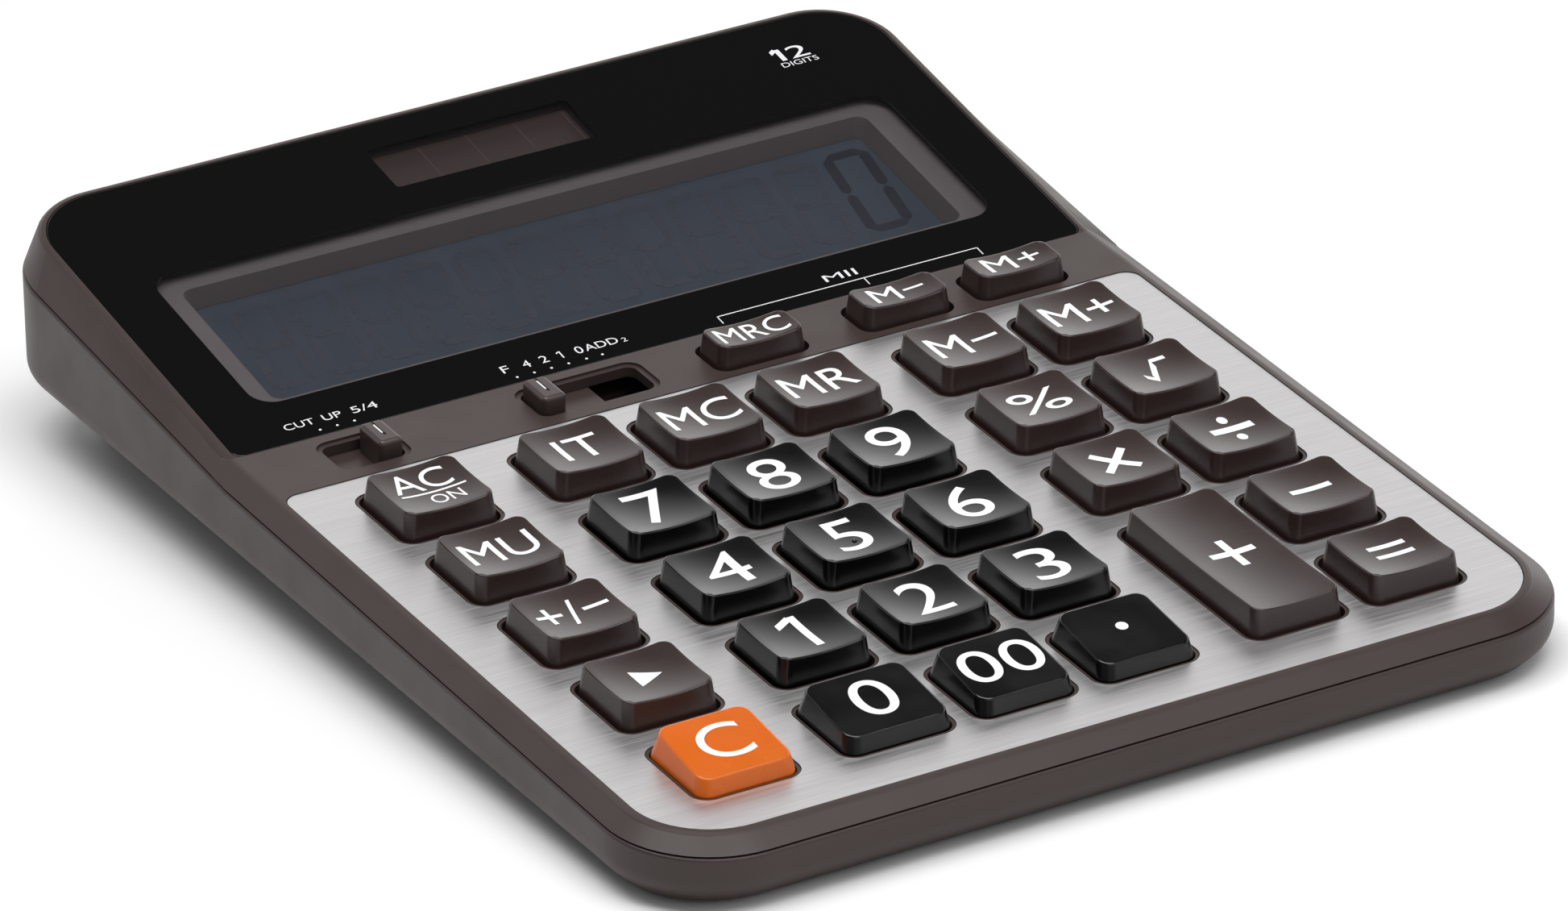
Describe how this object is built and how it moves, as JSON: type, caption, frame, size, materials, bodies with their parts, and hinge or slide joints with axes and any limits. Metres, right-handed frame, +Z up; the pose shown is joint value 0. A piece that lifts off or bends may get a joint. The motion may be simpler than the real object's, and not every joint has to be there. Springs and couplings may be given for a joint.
{
  "type": "desk calculator",
  "caption": "Desk calculator: wedge-shaped two-shell case, brushed plate with sprung keys, slide switches and a tilted display window.",
  "frame": {"origin": "bottom centre of the calculator's box, on the plane that the four rubber feet stand on", "axes": "+Z up, +Y from the user's edge towards the display edge (longest), +X to the user's right"},
  "size_m": [0.155, 0.209, 0.0355],
  "materials": {
    "case_plastic": "fine spark texture",
    "brown_key_plastic": "satin",
    "black_key_plastic": "semi-gloss",
    "orange_key_plastic": "semi-gloss",
    "switch_plastic": "satin",
    "plate_metal": "brushed side to side",
    "window_sheet": "clear, printed black behind",
    "bezel_plastic": "fine texture",
    "lcd_glass": "liquid crystal glass",
    "lcd_reflector": "grey reflector film",
    "solar_film": "brown thin film",
    "board_laminate": "green laminate",
    "chip_resin": "cast resin",
    "strip_film": "amber film",
    "silicone": "silicone",
    "screw_steel": "zinc plated",
    "contact_metal": "nickel plated",
    "cell_steel": "stainless can",
    "foot_rubber": "soft rubber"
  },
  "bodies": {
    "calculator_body": {"upper_case": "case_plastic", "lower_case": "case_plastic", "face_plate": "plate_metal", "display_window": "window_sheet", "display_bezel": "bezel_plastic", "lcd_panel": "lcd_glass", "lcd_backing": "lcd_reflector", "solar_cell": "solar_film", "circuit_board": "board_laminate", "chip_cover": "chip_resin", "lcd_connector": "strip_film", "key_mat": "silicone", "board_screws": "screw_steel", "case_screws": "screw_steel", "front_feet": "foot_rubber", "rear_feet": "foot_rubber", "button_cell": "cell_steel", "battery_contact_plus": "contact_metal", "battery_contact_minus": "contact_metal", "battery_cover": "case_plastic", "battery_cover_screw": "screw_steel"},
    "clear_entry_key": {"key_clear_entry": "orange_key_plastic"},
    "zero_key": {"key_zero": "black_key_plastic"},
    "double_zero_key": {"key_double_zero": "black_key_plastic"},
    "point_key": {"key_point": "black_key_plastic"},
    "equals_key": {"key_equals": "brown_key_plastic"},
    "arrow_key": {"key_arrow": "brown_key_plastic"},
    "one_key": {"key_one": "black_key_plastic"},
    "two_key": {"key_two": "black_key_plastic"},
    "three_key": {"key_three": "black_key_plastic"},
    "plus_key": {"key_plus": "brown_key_plastic"},
    "minus_key": {"key_minus": "brown_key_plastic"},
    "sign_key": {"key_sign": "brown_key_plastic"},
    "four_key": {"key_four": "black_key_plastic"},
    "five_key": {"key_five": "black_key_plastic"},
    "six_key": {"key_six": "black_key_plastic"},
    "times_key": {"key_times": "brown_key_plastic"},
    "divide_key": {"key_divide": "brown_key_plastic"},
    "markup_key": {"key_markup": "brown_key_plastic"},
    "seven_key": {"key_seven": "black_key_plastic"},
    "eight_key": {"key_eight": "black_key_plastic"},
    "nine_key": {"key_nine": "black_key_plastic"},
    "percent_key": {"key_percent": "brown_key_plastic"},
    "root_key": {"key_root": "brown_key_plastic"},
    "all_clear_key": {"key_all_clear": "brown_key_plastic"},
    "item_key": {"key_item": "brown_key_plastic"},
    "memory_clear_key": {"key_memory_clear": "brown_key_plastic"},
    "memory_recall_key": {"key_memory_recall": "brown_key_plastic"},
    "memory_minus_key": {"key_memory_minus": "brown_key_plastic"},
    "memory_plus_key": {"key_memory_plus": "brown_key_plastic"},
    "total_recall_key": {"key_total_recall": "brown_key_plastic"},
    "total_minus_key": {"key_total_minus": "brown_key_plastic"},
    "total_plus_key": {"key_total_plus": "brown_key_plastic"},
    "rounding_slider": {"rounding_switch": "switch_plastic", "rounding_wiper": "contact_metal"},
    "decimal_slider": {"decimal_switch": "switch_plastic", "decimal_wiper": "contact_metal"}
  },
  "joints": [
    {"name": "press_clear_entry", "type": "slide", "parent": "calculator_body", "child": "clear_entry_key", "axis": [0, 0.0698, -0.9976], "range_m": [0, 0.0016], "stiffness_N_per_m": 250, "springref_m": -0.0016, "deforming": ["key_mat"]},
    {"name": "press_zero", "type": "slide", "parent": "calculator_body", "child": "zero_key", "axis": [0, 0.0698, -0.9976], "range_m": [0, 0.0016], "stiffness_N_per_m": 250, "springref_m": -0.0016, "deforming": ["key_mat"]},
    {"name": "press_double_zero", "type": "slide", "parent": "calculator_body", "child": "double_zero_key", "axis": [0, 0.0698, -0.9976], "range_m": [0, 0.0016], "stiffness_N_per_m": 250, "springref_m": -0.0016, "deforming": ["key_mat"]},
    {"name": "press_point", "type": "slide", "parent": "calculator_body", "child": "point_key", "axis": [0, 0.0698, -0.9976], "range_m": [0, 0.0016], "stiffness_N_per_m": 250, "springref_m": -0.0016, "deforming": ["key_mat"]},
    {"name": "press_equals", "type": "slide", "parent": "calculator_body", "child": "equals_key", "axis": [0, 0.0698, -0.9976], "range_m": [0, 0.0016], "stiffness_N_per_m": 250, "springref_m": -0.0016, "deforming": ["key_mat"]},
    {"name": "press_arrow", "type": "slide", "parent": "calculator_body", "child": "arrow_key", "axis": [0, 0.0698, -0.9976], "range_m": [0, 0.0016], "stiffness_N_per_m": 250, "springref_m": -0.0016, "deforming": ["key_mat"]},
    {"name": "press_one", "type": "slide", "parent": "calculator_body", "child": "one_key", "axis": [0, 0.0698, -0.9976], "range_m": [0, 0.0016], "stiffness_N_per_m": 250, "springref_m": -0.0016, "deforming": ["key_mat"]},
    {"name": "press_two", "type": "slide", "parent": "calculator_body", "child": "two_key", "axis": [0, 0.0698, -0.9976], "range_m": [0, 0.0016], "stiffness_N_per_m": 250, "springref_m": -0.0016, "deforming": ["key_mat"]},
    {"name": "press_three", "type": "slide", "parent": "calculator_body", "child": "three_key", "axis": [0, 0.0698, -0.9976], "range_m": [0, 0.0016], "stiffness_N_per_m": 250, "springref_m": -0.0016, "deforming": ["key_mat"]},
    {"name": "press_plus", "type": "slide", "parent": "calculator_body", "child": "plus_key", "axis": [0, 0.0698, -0.9976], "range_m": [0, 0.0016], "stiffness_N_per_m": 250, "springref_m": -0.0016, "deforming": ["key_mat"]},
    {"name": "press_minus", "type": "slide", "parent": "calculator_body", "child": "minus_key", "axis": [0, 0.0698, -0.9976], "range_m": [0, 0.0016], "stiffness_N_per_m": 250, "springref_m": -0.0016, "deforming": ["key_mat"]},
    {"name": "press_sign", "type": "slide", "parent": "calculator_body", "child": "sign_key", "axis": [0, 0.0698, -0.9976], "range_m": [0, 0.0016], "stiffness_N_per_m": 250, "springref_m": -0.0016, "deforming": ["key_mat"]},
    {"name": "press_four", "type": "slide", "parent": "calculator_body", "child": "four_key", "axis": [0, 0.0698, -0.9976], "range_m": [0, 0.0016], "stiffness_N_per_m": 250, "springref_m": -0.0016, "deforming": ["key_mat"]},
    {"name": "press_five", "type": "slide", "parent": "calculator_body", "child": "five_key", "axis": [0, 0.0698, -0.9976], "range_m": [0, 0.0016], "stiffness_N_per_m": 250, "springref_m": -0.0016, "deforming": ["key_mat"]},
    {"name": "press_six", "type": "slide", "parent": "calculator_body", "child": "six_key", "axis": [0, 0.0698, -0.9976], "range_m": [0, 0.0016], "stiffness_N_per_m": 250, "springref_m": -0.0016, "deforming": ["key_mat"]},
    {"name": "press_times", "type": "slide", "parent": "calculator_body", "child": "times_key", "axis": [0, 0.0698, -0.9976], "range_m": [0, 0.0016], "stiffness_N_per_m": 250, "springref_m": -0.0016, "deforming": ["key_mat"]},
    {"name": "press_divide", "type": "slide", "parent": "calculator_body", "child": "divide_key", "axis": [0, 0.0698, -0.9976], "range_m": [0, 0.0016], "stiffness_N_per_m": 250, "springref_m": -0.0016, "deforming": ["key_mat"]},
    {"name": "press_markup", "type": "slide", "parent": "calculator_body", "child": "markup_key", "axis": [0, 0.0698, -0.9976], "range_m": [0, 0.0016], "stiffness_N_per_m": 250, "springref_m": -0.0016, "deforming": ["key_mat"]},
    {"name": "press_seven", "type": "slide", "parent": "calculator_body", "child": "seven_key", "axis": [0, 0.0698, -0.9976], "range_m": [0, 0.0016], "stiffness_N_per_m": 250, "springref_m": -0.0016, "deforming": ["key_mat"]},
    {"name": "press_eight", "type": "slide", "parent": "calculator_body", "child": "eight_key", "axis": [0, 0.0698, -0.9976], "range_m": [0, 0.0016], "stiffness_N_per_m": 250, "springref_m": -0.0016, "deforming": ["key_mat"]},
    {"name": "press_nine", "type": "slide", "parent": "calculator_body", "child": "nine_key", "axis": [0, 0.0698, -0.9976], "range_m": [0, 0.0016], "stiffness_N_per_m": 250, "springref_m": -0.0016, "deforming": ["key_mat"]},
    {"name": "press_percent", "type": "slide", "parent": "calculator_body", "child": "percent_key", "axis": [0, 0.0698, -0.9976], "range_m": [0, 0.0016], "stiffness_N_per_m": 250, "springref_m": -0.0016, "deforming": ["key_mat"]},
    {"name": "press_root", "type": "slide", "parent": "calculator_body", "child": "root_key", "axis": [0, 0.0698, -0.9976], "range_m": [0, 0.0016], "stiffness_N_per_m": 250, "springref_m": -0.0016, "deforming": ["key_mat"]},
    {"name": "press_all_clear", "type": "slide", "parent": "calculator_body", "child": "all_clear_key", "axis": [0, 0.0698, -0.9976], "range_m": [0, 0.0016], "stiffness_N_per_m": 250, "springref_m": -0.0016, "deforming": ["key_mat"]},
    {"name": "press_item", "type": "slide", "parent": "calculator_body", "child": "item_key", "axis": [0, 0.0698, -0.9976], "range_m": [0, 0.0016], "stiffness_N_per_m": 250, "springref_m": -0.0016, "deforming": ["key_mat"]},
    {"name": "press_memory_clear", "type": "slide", "parent": "calculator_body", "child": "memory_clear_key", "axis": [0, 0.0698, -0.9976], "range_m": [0, 0.0016], "stiffness_N_per_m": 250, "springref_m": -0.0016, "deforming": ["key_mat"]},
    {"name": "press_memory_recall", "type": "slide", "parent": "calculator_body", "child": "memory_recall_key", "axis": [0, 0.0698, -0.9976], "range_m": [0, 0.0016], "stiffness_N_per_m": 250, "springref_m": -0.0016, "deforming": ["key_mat"]},
    {"name": "press_memory_minus", "type": "slide", "parent": "calculator_body", "child": "memory_minus_key", "axis": [0, 0.0698, -0.9976], "range_m": [0, 0.0016], "stiffness_N_per_m": 250, "springref_m": -0.0016, "deforming": ["key_mat"]},
    {"name": "press_memory_plus", "type": "slide", "parent": "calculator_body", "child": "memory_plus_key", "axis": [0, 0.0698, -0.9976], "range_m": [0, 0.0016], "stiffness_N_per_m": 250, "springref_m": -0.0016, "deforming": ["key_mat"]},
    {"name": "press_total_recall", "type": "slide", "parent": "calculator_body", "child": "total_recall_key", "axis": [0, 0.0698, -0.9976], "range_m": [0, 0.0016], "stiffness_N_per_m": 250, "springref_m": -0.0016, "deforming": ["key_mat"]},
    {"name": "press_total_minus", "type": "slide", "parent": "calculator_body", "child": "total_minus_key", "axis": [0, 0.0698, -0.9976], "range_m": [0, 0.0016], "stiffness_N_per_m": 250, "springref_m": -0.0016, "deforming": ["key_mat"]},
    {"name": "press_total_plus", "type": "slide", "parent": "calculator_body", "child": "total_plus_key", "axis": [0, 0.0698, -0.9976], "range_m": [0, 0.0016], "stiffness_N_per_m": 250, "springref_m": -0.0016, "deforming": ["key_mat"]},
    {"name": "slide_rounding", "type": "slide", "parent": "calculator_body", "child": "rounding_slider", "axis": [1, 0, 0], "range_m": [-0.00586, 0]},
    {"name": "slide_decimal", "type": "slide", "parent": "calculator_body", "child": "decimal_slider", "axis": [1, 0, 0], "range_m": [0, 0.01465]}
  ]
}
